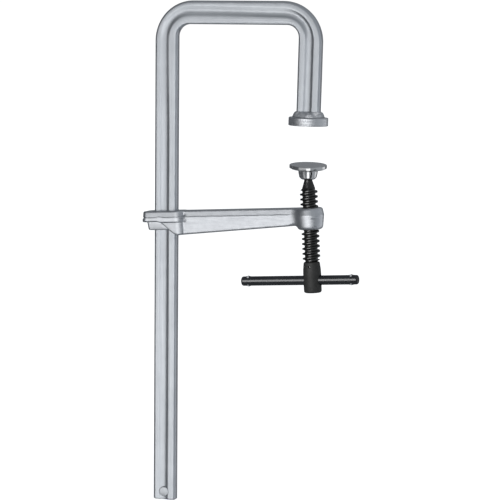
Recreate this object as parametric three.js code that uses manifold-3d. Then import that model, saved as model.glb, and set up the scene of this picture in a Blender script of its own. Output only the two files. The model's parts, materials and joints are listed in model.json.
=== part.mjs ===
// Deep-throat sliding-arm clamp with a square bow, sized for 300 mm opening and 140 mm reach.
// Millimetres, +Z up the rail. The origin is the centre of the fixed jaw's clamping face.
// X runs from the rail towards the jaws, and Y is the thickness of the rail.

import * as THREE from 'three';
import { mergeVertices } from 'three/addons/utils/BufferGeometryUtils.js';
import Module from 'manifold-3d';

// ---- driving dimensions -------------------------------------------------------------------

const GAP = 0.35; // running clearance between neighbouring pieces

// profiled rail, bent into a square bow
const RAIL_WIDTH = 24;
const RAIL_DEPTH = 10.5;
const RAIL_CORNER = 2.5;
const GROOVE_WIDTH = 10;
const GROOVE_DEPTH = 1.4;
const REACH = 140; // rail's inner face to the jaws' centre line
const BOW_TOP = 124.5;
const RAIL_END = -393.5;
const BEND_RADIUS = 27; // on the bar's centre line
const BEND_STEPS = 8;
const LEG_LEAN = THREE.MathUtils.degToRad(1.3);

// fixed jaw
const FOOT_RADIUS = 20;
const FOOT_HEIGHT = 8.5;
const FOOT_BEVEL = 0.8;
const WELD_HEIGHT = 5.6;
const WELD_RADIUS = 16.5;
const WELD_TOP_RADIUS = 14.2;

// end stop, pressed through the rail
const STOP_RADIUS = 5;
const STOP_HEIGHT = -385;

// spindle: places along it are measured down from the pad's face
const PAD_DROP = 39;
const SPINDLE_LEAN = THREE.MathUtils.degToRad(3.2);
const SPINDLE_OFFSET = -0.2;
const BALL_CENTRE = 9.9;
const BALL_RADIUS = 5.6;
const NECK_RADIUS = 3.9;
const NECK_END = 15.5;
const CONE_END = 24.2;
const THREAD_TOP = 25.6;
const THREAD_BOTTOM = 97.6;
const THREAD_RADIUS = 9;
const CORE_RADIUS = 6.5;
const PITCH = 5;
const THREAD_PHASE = 0.7;
const CREST_HALF = 0.55;
const ROOT_HALF = 1.45;
const TURN_STEPS = 20;

// sliding arm
const BOSS_TOP = 43.5;
const BOSS_HEIGHT = 22.2;
const BOSS_RADIUS = 14.6;
const BOSS_BOTTOM_RADIUS = 13.4;
const BOSS_CORNER = 2.5;
const PARTING = 6.8;
const ARM_HALF_DEPTH = 8;
const ARM_TIP = -6; // inside the boss
const COLLAR_HALF_DEPTH = 12.5;
const COLLAR_END = -178.8;
const COLLAR_CORNER = 4.5;
const COLLAR_BAND = 11.1;
const HEEL_START = -163;
const HEEL_FOOT = -139.5;
const NECK = -131;
const ARM_ROOT_HEIGHT = 25.2;
const ARM_TIP_HEIGHT = 17.9;
const SKIRT_HALF_DEPTH = 9.6;
const SKIRT_DROP = 19.4;
const SKIRT_LEFT = -174.8;
const SKIRT_LEAN = 1.6;
const SKIRT_RIGHT = -138.5;
const HOLE_LEFT = -168.3;
const HOLE_RIGHT = -141.6;
const HOLE_SLACK = 0.5;
const RIB_HALF = 1.7;
const RIB_SLOPE = 0.8;
const RIB_CLEARANCE = 0.6;

// spindle head and tommy bar
const HEAD_TOP = 98.6;
const HEAD_BOTTOM = 129.8;
const HEAD_RADIUS = 9.2;
const HEAD_NECK = 8.2;
const SHANK_END = 109.6;
const HEAD_PIN_AT = 103;
const HEAD_PIN_RADIUS = 1.1;
const BAR_AT = 117.2;
const BAR_RADIUS = 4.7;
const BAR_LEFT = -75.5;
const BAR_RIGHT = 48.5;
const STAKE_INSET = 7.2;
const STAKE_RADIUS = 1.6;
const STAKE_HEIGHT = 5.4;

// pressure plate, held on the spindle's ball
const PAD_RADIUS = 18.9;
const PAD_RIM = 3.2;
const CUP_BOTTOM = 14.8;
const SOCKET_RADIUS = 7.2;
const SOCKET_MOUTH = 5.3;
const SHELL_INNER = 5.9;
const SHELL_OUTER = 6.9;
const PAD_TILT_SIDE = THREE.MathUtils.degToRad(5.3);
const PAD_TILT_FRONT = THREE.MathUtils.degToRad(4.8);

// ---- solids -------------------------------------------------------------------------------

const wasm = await Module();
wasm.setup();

function closedMesh(geometry) {
  const bare = geometry.clone();
  bare.deleteAttribute('normal');
  bare.deleteAttribute('uv');
  const merged = mergeVertices(bare, 1e-4);
  const source = merged.index.array;
  const triangles = [];
  for (let i = 0; i < source.length; i += 3) {
    const [a, b, c] = [source[i], source[i + 1], source[i + 2]];
    if (a !== b && b !== c && c !== a) triangles.push(a, b, c);
  }
  merged.setIndex(triangles);
  return merged;
}

function toSolid(geometry) {
  const mesh = closedMesh(geometry);
  return new wasm.Manifold(new wasm.Mesh({
    numProp: 3,
    vertProperties: new Float32Array(mesh.attributes.position.array),
    triVerts: new Uint32Array(mesh.index.array),
  }));
}

function toGeometry(solid) {
  const mesh = solid.getMesh();
  const geometry = new THREE.BufferGeometry();
  geometry.setAttribute('position', new THREE.BufferAttribute(mesh.vertProperties, 3));
  geometry.setIndex(new THREE.BufferAttribute(mesh.triVerts, 1));
  geometry.computeVertexNormals();
  return geometry;
}

const join = (...geometries) => geometries.map(toSolid).reduce((a, b) => a.add(b));
const cut = (solid, ...tools) => tools.map(toSolid).reduce((a, b) => a.subtract(b), solid);

// A turned piece about the Z axis from [radius, height] pairs, lowest first.
function turned(profile, segments) {
  const points = profile.map(([radius, height]) => new THREE.Vector2(radius, height));
  return new THREE.LatheGeometry(points, segments).rotateX(Math.PI / 2);
}

function rod(radius, length, segments) {
  return new THREE.CylinderGeometry(radius, radius, length, segments);
}

function shapeFrom(points) {
  return new THREE.Shape(points.map(([x, y]) => new THREE.Vector2(x, y)));
}

// Points on an arc, both ends included.
function arcPoints(x, y, radius, from, to, steps) {
  return Array.from({ length: steps + 1 }, (_, i) => {
    const angle = from + (to - from) * i / steps;
    return [x + radius * Math.cos(angle), y + radius * Math.sin(angle)];
  });
}

// ---- paths --------------------------------------------------------------------------------

// A path given by hand-placed stations, so that straight stretches take one step each.
class StationPath extends THREE.Curve {
  constructor(stations) {
    super();
    this.stations = stations;
  }

  station(u) {
    return this.stations[Math.round(u * (this.stations.length - 1))];
  }

  getPointAt(u, target = new THREE.Vector3()) {
    return target.copy(this.station(u).point);
  }

  getTangentAt(u, target = new THREE.Vector3()) {
    return target.copy(this.station(u).tangent);
  }
}

// A right-hand helix about Z whose section keeps its X radial and its Y down the axis.
class HelixPath extends THREE.Curve {
  constructor(startAngle, endAngle, pitch, phase, sink = 0) {
    super();
    Object.assign(this, { startAngle, endAngle, pitch, phase, sink });
  }

  angle(u) {
    return this.startAngle + (this.endAngle - this.startAngle) * u;
  }

  getPointAt(u, target = new THREE.Vector3()) {
    const angle = this.angle(u);
    const fromEnd = Math.min(angle - this.startAngle, this.endAngle - angle);
    const radius = -this.sink * Math.max(0, 1 - fromEnd / (Math.PI / 2));
    return target.set(
      radius * Math.cos(angle),
      radius * Math.sin(angle),
      this.phase + this.pitch * angle / (2 * Math.PI),
    );
  }

  computeFrenetFrames(segments) {
    const frames = { tangents: [], normals: [], binormals: [] };
    for (let i = 0; i <= segments; i++) {
      const angle = this.angle(i / segments);
      frames.tangents.push(new THREE.Vector3(-Math.sin(angle), Math.cos(angle), 0));
      frames.normals.push(new THREE.Vector3(Math.cos(angle), Math.sin(angle), 0));
      frames.binormals.push(new THREE.Vector3(0, 0, -1));
    }
    return frames;
  }
}

function sweep(section, path, steps) {
  const options = { steps, extrudePath: path, bevelEnabled: false, curveSegments: 1 };
  return new THREE.ExtrudeGeometry(section, options);
}

// ---- frames that the pieces are built in -----------------------------------------------------

const clamp = new THREE.Group();

// The arm's frame: X along the arm, Z up the spindle, origin on the boss's top face.
const armFrame = new THREE.Group();
armFrame.rotation.y = -SPINDLE_LEAN;
armFrame.position.set(
  SPINDLE_OFFSET + BOSS_TOP * Math.sin(SPINDLE_LEAN),
  0,
  -PAD_DROP - BOSS_TOP * Math.cos(SPINDLE_LEAN),
);
clamp.add(armFrame);
const along = (place) => BOSS_TOP - place;

// The pad's swivel: first sideways, then towards the front, about the ball's centre.
const sideTilt = new THREE.Group();
sideTilt.position.z = along(BALL_CENTRE);
sideTilt.rotation.y = PAD_TILT_SIDE;
const frontTilt = new THREE.Group();
frontTilt.rotation.x = PAD_TILT_FRONT;
armFrame.add(sideTilt);
sideTilt.add(frontTilt);

const footFrame = new THREE.Group();
footFrame.rotation.y = LEG_LEAN;
clamp.add(footFrame);

const steel = (color, roughness, metalness) =>
  new THREE.MeshStandardMaterial({ color, roughness, metalness });

function place(parent, name, geometry, material) {
  const mesh = new THREE.Mesh(geometry, material);
  mesh.name = name;
  parent.add(mesh);
}

// ---- rail -----------------------------------------------------------------------------------

// Half the groove's angle, and the radius of its floor.
const grooveRadius = (GROOVE_DEPTH ** 2 + (GROOVE_WIDTH / 2) ** 2) / (2 * GROOVE_DEPTH);
const grooveAngle = Math.asin(GROOVE_WIDTH / 2 / grooveRadius);

function railSection() {
  const x = RAIL_DEPTH / 2;
  const y = RAIL_WIDTH / 2;
  const r = RAIL_CORNER;
  const quarter = Math.PI / 2;
  const grooveCentre = x - GROOVE_DEPTH + grooveRadius;
  const front = Math.PI;
  return shapeFrom([
    ...arcPoints(grooveCentre, 0, grooveRadius, front + grooveAngle, front - grooveAngle, 6),
    ...arcPoints(x - r, y - r, r, 0, quarter, 3),
    ...arcPoints(-x + r, y - r, r, quarter, 2 * quarter, 3),
    ...arcPoints(-grooveCentre, 0, grooveRadius, grooveAngle, -grooveAngle, 6),
    ...arcPoints(-x + r, -y + r, r, 2 * quarter, 3 * quarter, 3),
    ...arcPoints(x - r, -y + r, r, 3 * quarter, 4 * quarter, 3),
  ]);
}

function railStations() {
  const railX = -REACH - RAIL_WIDTH / 2;
  const bendZ = BOW_TOP - RAIL_WIDTH / 2 - BEND_RADIUS;
  const legX = (bendZ - BEND_RADIUS * Math.sin(LEG_LEAN)) * Math.tan(LEG_LEAN);
  const rightX = legX - BEND_RADIUS * Math.cos(LEG_LEAN);
  const stations = [];
  const add = (x, z, tangentX, tangentZ) => stations.push({
    point: new THREE.Vector3(x, 0, z),
    tangent: new THREE.Vector3(tangentX, 0, tangentZ),
  });
  const addBend = (centreX, from, to) => {
    for (let i = 0; i <= BEND_STEPS; i++) {
      const angle = from + (to - from) * i / BEND_STEPS;
      const [c, s] = [Math.cos(angle), Math.sin(angle)];
      add(centreX + BEND_RADIUS * c, bendZ + BEND_RADIUS * s, s, -c);
    }
  };
  add(railX, RAIL_END, 0, 1);
  addBend(railX + BEND_RADIUS, Math.PI, Math.PI / 2);
  addBend(rightX, Math.PI / 2, -LEG_LEAN);
  const legEnd = FOOT_HEIGHT + GAP;
  const [s, c] = [Math.sin(LEG_LEAN), Math.cos(LEG_LEAN)];
  add(legEnd * s, legEnd * c, -s, -c);
  return stations;
}

function railGeometry() {
  const stations = railStations();
  const bar = sweep(railSection(), new StationPath(stations), stations.length - 1);
  const hole = rod(STOP_RADIUS + GAP, RAIL_DEPTH + 2, 24);
  hole.translate(-REACH - RAIL_WIDTH / 2, 0, STOP_HEIGHT);
  return toGeometry(cut(toSolid(bar), hole));
}

place(clamp, 'rail', railGeometry(), steel(0xc9ccd0, 0.38, 0.9));

// ---- end stop ---------------------------------------------------------------------------------

function endStopGeometry() {
  const half = RAIL_DEPTH / 2;
  const chamfer = 0.5;
  const pin = turned([
    [0, -half],
    [STOP_RADIUS - chamfer, -half],
    [STOP_RADIUS, -half + chamfer],
    [STOP_RADIUS, half - chamfer],
    [STOP_RADIUS - chamfer, half],
    [0, half],
  ], 24);
  pin.rotateX(Math.PI / 2);
  pin.translate(-REACH - RAIL_WIDTH / 2, 0, STOP_HEIGHT);
  return closedMesh(pin);
}

place(clamp, 'end_stop_pin', endStopGeometry(), steel(0xc4c7cb, 0.4, 0.9));

// ---- fixed jaw ----------------------------------------------------------------------------------

function fixedFootGeometry() {
  return closedMesh(turned([
    [0, 0],
    [FOOT_RADIUS - FOOT_BEVEL, 0],
    [FOOT_RADIUS, FOOT_BEVEL],
    [FOOT_RADIUS, FOOT_HEIGHT - FOOT_BEVEL],
    [FOOT_RADIUS - FOOT_BEVEL, FOOT_HEIGHT],
    [0, FOOT_HEIGHT],
  ], 40));
}

// The bead that joins the foot to the leg: a sloping collar round the leg's end.
function footWeldGeometry() {
  const base = FOOT_HEIGHT + GAP;
  const bead = turned([
    [0, base],
    [WELD_RADIUS, base],
    [WELD_TOP_RADIUS + 0.8 * (WELD_RADIUS - WELD_TOP_RADIUS), base + 0.4 * WELD_HEIGHT],
    [WELD_TOP_RADIUS, base + WELD_HEIGHT],
    [0, base + WELD_HEIGHT],
  ], 32);
  const hole = new THREE.BoxGeometry(RAIL_WIDTH + 2 * GAP, RAIL_DEPTH + 2 * GAP, 4 * WELD_HEIGHT);
  hole.translate(0, 0, base);
  return toGeometry(cut(toSolid(bead), hole));
}

place(footFrame, 'fixed_foot', fixedFootGeometry(), steel(0xa9adb2, 0.35, 0.95));
place(footFrame, 'foot_weld', footWeldGeometry(), steel(0xa2a6aa, 0.5, 0.9));

// ---- thread ---------------------------------------------------------------------------------------

// The thread's ridge with its root sunk into the core, grown by a clearance where it is a cutter.
function threadRidge(lowest, highest, clearance, sink) {
  const root = CORE_RADIUS - 0.5;
  const slope = (ROOT_HALF - CREST_HALF) / (THREAD_RADIUS - CORE_RADIUS);
  const rootHalf = ROOT_HALF + slope * (CORE_RADIUS - root) + clearance;
  const crest = THREAD_RADIUS + clearance;
  const crestHalf = CREST_HALF + clearance;
  const section = shapeFrom([
    [root, -rootHalf],
    [crest, -crestHalf],
    [crest, crestHalf],
    [root, rootHalf],
  ]);
  const step = 2 * Math.PI / TURN_STEPS;
  const toStep = (height) => Math.round((height - THREAD_PHASE) / PITCH * TURN_STEPS);
  const [first, last] = [toStep(lowest), toStep(highest)];
  const path = new HelixPath(first * step, last * step, PITCH, THREAD_PHASE, sink);
  return sweep(section, path, last - first);
}

// ---- sliding arm ----------------------------------------------------------------------------------

// A smooth change from one value to the other, as evenly spaced [share, value] pairs.
function easedSteps(from, to, steps) {
  return Array.from({ length: steps + 1 }, (_, i) => {
    const ease = (1 - Math.cos(Math.PI * i / steps)) / 2;
    return [i / steps, from + (to - from) * ease];
  });
}

// Outline seen from above: a wide collar round the rail that narrows to the arm.
function armPlan() {
  const cornerX = COLLAR_END + COLLAR_CORNER;
  const cornerY = -COLLAR_HALF_DEPTH + COLLAR_CORNER;
  const front = arcPoints(cornerX, cornerY, COLLAR_CORNER, Math.PI, 1.5 * Math.PI, 4);
  for (const [share, depth] of easedSteps(COLLAR_HALF_DEPTH, ARM_HALF_DEPTH, 5)) {
    front.push([HEEL_FOOT + (NECK - HEEL_FOOT) * share, -depth]);
  }
  front.push([ARM_TIP, -ARM_HALF_DEPTH]);
  const back = front.map(([x, y]) => [x, -y]).reverse();
  return shapeFrom([...front, ...back]);
}

// Outline seen from the front: a thin band past the rail, an S-shaped heel, then a tapering arm.
function armSide() {
  const past = COLLAR_END - 1;
  const points = [[ARM_TIP, 0], [past, 0], [past, -COLLAR_BAND]];
  for (const [share, height] of easedSteps(COLLAR_BAND, ARM_ROOT_HEIGHT, 6)) {
    points.push([HEEL_START + (HEEL_FOOT - HEEL_START) * share, -height]);
  }
  points.push([ARM_TIP, -ARM_TIP_HEIGHT]);
  return shapeFrom(points);
}

function skirtSide() {
  return shapeFrom([
    [SKIRT_LEFT, -PARTING],
    [SKIRT_LEFT + SKIRT_LEAN, -SKIRT_DROP],
    [SKIRT_RIGHT, -SKIRT_DROP],
    [SKIRT_RIGHT, -PARTING],
  ]);
}

function sideExtrusion(shape, halfDepth) {
  const slab = new THREE.ExtrudeGeometry(shape, { depth: 2 * halfDepth, bevelEnabled: false });
  return slab.rotateX(Math.PI / 2).translate(0, halfDepth, 0);
}

// The hole for the rail, with a rib each side that runs in the rail's groove.
function railHole() {
  const half = RAIL_DEPTH / 2 + HOLE_SLACK;
  const ribTip = RAIL_DEPTH / 2 - GROOVE_DEPTH + RIB_CLEARANCE;
  const centre = (HOLE_LEFT + HOLE_RIGHT) / 2;
  const front = [
    [HOLE_LEFT, -half],
    [centre - RIB_HALF - RIB_SLOPE, -half],
    [centre - RIB_HALF, -ribTip],
    [centre + RIB_HALF, -ribTip],
    [centre + RIB_HALF + RIB_SLOPE, -half],
    [HOLE_RIGHT, -half],
  ];
  const back = front.map(([x, y]) => [x, -y]).reverse();
  const depth = 60;
  const hole = new THREE.ExtrudeGeometry(shapeFrom([...front, ...back]), { depth, bevelEnabled: false });
  return hole.translate(0, 0, -depth / 2);
}

function bossGeometry() {
  const topEdge = 1;
  return turned([
    [0, -BOSS_HEIGHT],
    [BOSS_BOTTOM_RADIUS - BOSS_CORNER, -BOSS_HEIGHT],
    [BOSS_BOTTOM_RADIUS - 0.3 * BOSS_CORNER, -BOSS_HEIGHT + 0.3 * BOSS_CORNER],
    [BOSS_BOTTOM_RADIUS, -BOSS_HEIGHT + BOSS_CORNER],
    [BOSS_RADIUS, -BOSS_HEIGHT / 2],
    [BOSS_RADIUS - 0.6 * topEdge, -topEdge],
    [BOSS_RADIUS - 1.6 * topEdge, 0],
    [0, 0],
  ], 36);
}

function slidingArmGeometry() {
  const plan = new THREE.ExtrudeGeometry(armPlan(), { depth: 60, bevelEnabled: false });
  plan.translate(0, 0, -50);
  const bar = toSolid(plan).intersect(toSolid(sideExtrusion(armSide(), 30)));
  const skirt = toSolid(sideExtrusion(skirtSide(), SKIRT_HALF_DEPTH));
  const blank = bar.add(skirt).add(toSolid(bossGeometry()));
  const boreRadius = CORE_RADIUS + GAP;
  const bore = rod(boreRadius, 3 * BOSS_HEIGHT, TURN_STEPS).rotateX(Math.PI / 2);
  const ridge = threadRidge(-BOSS_HEIGHT - 2 * PITCH, 2 * PITCH, GAP, 0);
  return toGeometry(cut(blank, railHole(), bore, ridge));
}

place(armFrame, 'sliding_arm', slidingArmGeometry(), steel(0xc3c6ca, 0.45, 0.85));

// ---- spindle ----------------------------------------------------------------------------------------

function spindleGeometry() {
  const ball = arcPoints(0, along(BALL_CENTRE), BALL_RADIUS, -Math.PI / 4, Math.PI / 2, 7);
  const neckStart = BALL_CENTRE + Math.sqrt(BALL_RADIUS ** 2 - NECK_RADIUS ** 2);
  const shankRadius = CORE_RADIUS - 0.25;
  const core = turned([
    [0, along(SHANK_END)],
    [shankRadius, along(SHANK_END)],
    [shankRadius, along(THREAD_BOTTOM + 0.4)],
    [CORE_RADIUS, along(THREAD_BOTTOM)],
    [CORE_RADIUS, along(CONE_END)],
    [NECK_RADIUS, along(NECK_END)],
    [NECK_RADIUS, along(neckStart)],
    ...ball.slice(1, -1),
    [0, along(BALL_CENTRE - BALL_RADIUS)],
  ], TURN_STEPS);
  const sink = THREAD_RADIUS - CORE_RADIUS + 0.3;
  const ridge = threadRidge(along(THREAD_BOTTOM), along(THREAD_TOP), 0, sink);
  const pinHole = rod(HEAD_PIN_RADIUS + 0.3, 4 * HEAD_RADIUS, 12).translate(0, 0, along(HEAD_PIN_AT));
  return toGeometry(cut(join(core, ridge), pinHole));
}

function spindleHeadGeometry() {
  const corner = 2;
  const shoulder = HEAD_TOP + 9;
  const outer = [
    [0, along(HEAD_BOTTOM)],
    [HEAD_RADIUS - corner, along(HEAD_BOTTOM)],
    [HEAD_RADIUS - 0.3 * corner, along(HEAD_BOTTOM - 0.3 * corner)],
    [HEAD_RADIUS, along(HEAD_BOTTOM - corner)],
    [HEAD_RADIUS, along(shoulder)],
    [HEAD_NECK, along(HEAD_TOP + 0.6)],
    [HEAD_NECK - 0.6, along(HEAD_TOP)],
    [0, along(HEAD_TOP)],
  ];
  const bore = rod(CORE_RADIUS + 0.1, 2 * (SHANK_END + GAP - HEAD_TOP), 24).rotateX(Math.PI / 2);
  bore.translate(0, 0, along(HEAD_TOP));
  const crossHole = rod(BAR_RADIUS + GAP, 4 * HEAD_RADIUS, 24).rotateZ(Math.PI / 2);
  crossHole.translate(0, 0, along(BAR_AT));
  const pinHole = rod(HEAD_PIN_RADIUS + 0.3, 4 * HEAD_RADIUS, 12).translate(0, 0, along(HEAD_PIN_AT));
  return toGeometry(cut(toSolid(turned(outer, 32)), bore, crossHole, pinHole));
}

function headPinGeometry() {
  const length = 2 * (HEAD_NECK - 0.3);
  return closedMesh(rod(HEAD_PIN_RADIUS, length, 12).translate(0, 0, along(HEAD_PIN_AT)));
}

// The bar lies along X. Two small ears at each end, made by staking, keep it in the head.
function tommyBarGeometry() {
  const half = (BAR_RIGHT - BAR_LEFT) / 2;
  const round = 2;
  const bar = turned([
    [0, -half],
    [BAR_RADIUS - round, -half],
    [BAR_RADIUS - 0.3 * round, -half + 0.3 * round],
    [BAR_RADIUS, -half + round],
    [BAR_RADIUS, half - round],
    [BAR_RADIUS - 0.3 * round, half - 0.3 * round],
    [BAR_RADIUS - round, half],
    [0, half],
  ], 24).rotateY(Math.PI / 2);
  let solid = toSolid(bar);
  for (const end of [-1, 1]) {
    for (const side of [-1, 1]) {
      const ear = new THREE.SphereGeometry(STAKE_RADIUS, 10, 6);
      ear.translate(end * (half - STAKE_INSET), 0, side * (STAKE_HEIGHT - STAKE_RADIUS));
      solid = solid.add(toSolid(ear));
    }
  }
  const geometry = toGeometry(solid);
  return geometry.translate((BAR_LEFT + BAR_RIGHT) / 2, 0, along(BAR_AT));
}

place(armFrame, 'spindle_rod', spindleGeometry(), steel(0x1a1a19, 0.4, 0.7));
place(armFrame, 'spindle_head', spindleHeadGeometry(), steel(0x2b2b2b, 0.6, 0.6));
place(armFrame, 'head_pin', headPinGeometry(), steel(0x202020, 0.5, 0.7));
place(armFrame, 'tommy_bar', tommyBarGeometry(), steel(0x17181a, 0.25, 0.7));

// ---- pressure plate and its swivel ----------------------------------------------------------------

// Spherical shells about the ball's centre, so that they stay clear at every tilt.
function shellArc(radius, fromTop, toTop, steps) {
  const toAngle = (degrees) => Math.PI / 2 - THREE.MathUtils.degToRad(degrees);
  return arcPoints(0, 0, radius, toAngle(fromTop), toAngle(toTop), steps);
}

function thrustSeatGeometry() {
  const edge = 40;
  const inner = shellArc(SHELL_INNER, 0, edge, 4);
  const outer = shellArc(SHELL_OUTER, edge, 0, 4);
  inner[0][0] = 0;
  outer[outer.length - 1][0] = 0;
  return closedMesh(turned([...inner, ...outer], 20).translate(0, 0, along(BALL_CENTRE)));
}

function retainingRingGeometry() {
  const section = shapeFrom([
    ...shellArc(SHELL_OUTER, 62, 79, 2),
    ...shellArc(SHELL_INNER, 79, 62, 2),
  ]);
  const opening = THREE.MathUtils.degToRad(25);
  const path = new HelixPath(opening, 2 * Math.PI - opening, 0, 0);
  return closedMesh(sweep(section, path, 20));
}

function pressurePlateGeometry() {
  const height = (drop) => BALL_CENTRE - drop;
  const mouthAngle = THREE.MathUtils.radToDeg(Math.PI - Math.asin(SOCKET_MOUTH / SOCKET_RADIUS));
  const socket = shellArc(SOCKET_RADIUS, 0, mouthAngle, 9);
  socket[0][0] = 0;
  return closedMesh(turned([
    ...socket,
    [SOCKET_MOUTH + 0.5, height(CUP_BOTTOM)],
    [7.3, height(CUP_BOTTOM - 1.2)],
    [9.5, height(8.5)],
    [10.2, height(5.6)],
    [PAD_RADIUS - 2, height(4.2)],
    [PAD_RADIUS, height(PAD_RIM)],
    [PAD_RADIUS, height(0.7)],
    [PAD_RADIUS - 0.7, height(0)],
    [0, height(0)],
  ], 36));
}

place(armFrame, 'thrust_seat', thrustSeatGeometry(), steel(0x6b6d70, 0.35, 0.9));
place(sideTilt, 'pad_retaining_ring', retainingRingGeometry(), steel(0x55575a, 0.4, 0.9));
place(frontTilt, 'pressure_plate', pressurePlateGeometry(), steel(0x9a9c9f, 0.22, 1));

export default clamp;
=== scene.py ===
# Looks of the deep-throat sliding-arm clamp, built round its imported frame.
# Shapes are worked out in millimetres in the frame each piece belongs to, then placed in metres.

import json
import math

import bmesh
import bpy
import numpy as np
from mathutils import Matrix, Vector


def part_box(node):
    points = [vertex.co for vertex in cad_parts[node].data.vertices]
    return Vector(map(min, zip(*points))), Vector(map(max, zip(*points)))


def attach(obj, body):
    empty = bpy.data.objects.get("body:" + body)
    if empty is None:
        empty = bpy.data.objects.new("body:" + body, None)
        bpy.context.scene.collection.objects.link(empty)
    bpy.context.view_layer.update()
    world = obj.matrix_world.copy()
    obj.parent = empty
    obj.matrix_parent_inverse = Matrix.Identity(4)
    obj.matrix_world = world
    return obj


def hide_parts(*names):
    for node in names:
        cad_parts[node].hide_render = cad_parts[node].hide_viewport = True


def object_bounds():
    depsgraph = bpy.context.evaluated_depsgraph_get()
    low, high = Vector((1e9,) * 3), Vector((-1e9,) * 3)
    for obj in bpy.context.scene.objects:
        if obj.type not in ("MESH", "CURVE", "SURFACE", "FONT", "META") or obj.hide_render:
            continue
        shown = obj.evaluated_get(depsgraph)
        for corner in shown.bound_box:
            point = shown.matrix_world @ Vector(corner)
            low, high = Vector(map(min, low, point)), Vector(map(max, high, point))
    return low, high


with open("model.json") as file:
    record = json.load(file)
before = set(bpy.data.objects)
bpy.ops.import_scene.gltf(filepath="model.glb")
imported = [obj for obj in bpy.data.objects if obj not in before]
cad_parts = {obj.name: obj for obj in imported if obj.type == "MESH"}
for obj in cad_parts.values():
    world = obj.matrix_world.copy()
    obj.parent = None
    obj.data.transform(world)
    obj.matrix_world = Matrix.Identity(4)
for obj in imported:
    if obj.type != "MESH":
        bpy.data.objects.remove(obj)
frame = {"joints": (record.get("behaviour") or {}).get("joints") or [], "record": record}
CAD_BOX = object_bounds()
MM = 0.001


# ---- frames that the pieces are built in ----

def joint(name):
    return next(j for j in frame["joints"] if j["name"] == name)


def mount(name):
    return next(m for m in frame["record"]["mounts"] if m["name"] == name)


def local_frame(origin, x_axis, z_axis):
    """Matrix from millimetres in a local frame to metres in the row frame."""
    z = Vector(z_axis).normalized()
    x = Vector(x_axis)
    x = (x - z * x.dot(z)).normalized()
    turn = Matrix((x, z.cross(x), z)).transposed().to_4x4()
    return Matrix.Translation(Vector(origin)) @ turn @ Matrix.Diagonal((MM, MM, MM, 1))


WORLD = Matrix.Diagonal((MM, MM, MM, 1))
SPINDLE_DOWN = Vector(joint("spindle_turn")["axis"])
ARM = local_frame(joint("spindle_turn")["pos_m"], joint("bar_slide")["axis"], -SPINDLE_DOWN)
FOOT_UP = -Vector(mount("fixed_jaw_face")["axis"])
FOOT = local_frame(mount("fixed_jaw_face")["pos_m"], (1, 0, 0), FOOT_UP)
PAD_UP = Vector(mount("moving_jaw_face")["axis"])
PAD = local_frame(mount("moving_jaw_face")["pos_m"], joint("pad_tilt_front")["axis"], PAD_UP)
LEG_LEAN = math.atan2(FOOT_UP.x, FOOT_UP.z)


# ---- mesh making ----

def ease(x, start, end):
    """0 before start, 1 after end, and a smooth rise between them."""
    t = np.clip((x - start) / (end - start), 0, 1)
    return t * t * (3 - 2 * t)


def rounded(corners, steps=5):
    """A polyline through (x, y, radius) corners, where a corner with a radius is an arc."""
    points = []
    for i, (x, y, radius) in enumerate(corners):
        here = Vector((x, y))
        if not radius:
            points.append((x, y))
            continue
        before = (Vector(corners[i - 1][:2]) - here).normalized()
        after = (Vector(corners[(i + 1) % len(corners)][:2]) - here).normalized()
        half = before.angle(after) / 2
        reach = radius / math.tan(half)
        centre = here + (before + after).normalized() * (radius / math.sin(half))
        start = here + before * reach - centre
        turn = start.angle_signed(here + after * reach - centre)
        for k in range(steps + 1):
            arm = start.copy()
            arm.rotate(Matrix.Rotation(-turn * k / steps, 2))
            points.append(tuple(centre + arm))
    return points


def arc(x, y, radius, start, end, steps):
    """Points on an arc, in degrees, with both ends."""
    angles = np.radians(np.linspace(start, end, steps + 1))
    return [(x + radius * math.cos(a), y + radius * math.sin(a)) for a in angles]


def skin(rings, closed_along=False, caps=True):
    """Vertices and faces of a tube through rings of equal length."""
    count = len(rings[0])
    vertices = [tuple(p) for ring in rings for p in ring]
    faces = []
    spans = len(rings) if closed_along else len(rings) - 1
    for i in range(spans):
        here, there = i * count, (i + 1) % len(rings) * count
        for k in range(count):
            n = (k + 1) % count
            faces.append((here + k, here + n, there + n, there + k))
    if caps and not closed_along:
        faces.append(tuple(range(count - 1, -1, -1)))
        faces.append(tuple(range((len(rings) - 1) * count, len(rings) * count)))
    return vertices, faces


def circle(radius, height, segments=96):
    """A ring about Z. Its radius is a number, or a function of the angle."""
    ring = []
    for k in range(segments):
        angle = 2 * math.pi * k / segments
        reach = radius(angle) if callable(radius) else radius
        ring.append((reach * math.cos(angle), reach * math.sin(angle), height))
    return ring


def turned(profile, segments=96):
    """A body turned about Z from (radius, height) points, closed or from axis to axis."""
    rings = [circle(radius, height, segments) for radius, height in profile]
    return skin(rings, closed_along=profile[0][0] != 0, caps=False)


def grid(lines):
    """Vertices and faces of a sheet through lines of equal length."""
    rows = len(lines[0])
    vertices = [p for line in lines for p in line]
    faces = []
    for j in range(len(lines) - 1):
        for k in range(rows - 1):
            a = j * rows + k
            faces.append((a, a + 1, a + rows + 1, a + rows))
    return vertices, faces


def make_object(name, data):
    obj = bpy.data.objects.new(name, data)
    bpy.context.scene.collection.objects.link(obj)
    return obj


def make_piece(name, shape, matrix, sharp=32.0):
    """A clean mesh in the row frame, with its faces turned out and smooth between sharp edges."""
    vertices, faces = shape
    mesh = bpy.data.meshes.new(name)
    mesh.from_pydata(vertices, [], faces)
    work = bmesh.new()
    work.from_mesh(mesh)
    bmesh.ops.remove_doubles(work, verts=work.verts, dist=2e-4)
    bmesh.ops.dissolve_degenerate(work, edges=work.edges, dist=1e-5)
    bmesh.ops.recalc_face_normals(work, faces=work.faces)
    work.to_mesh(mesh)
    work.free()
    mesh.transform(matrix)
    mesh.shade_smooth()
    mesh.set_sharp_from_angle(angle=math.radians(sharp))
    return make_object(name, mesh)


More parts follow.
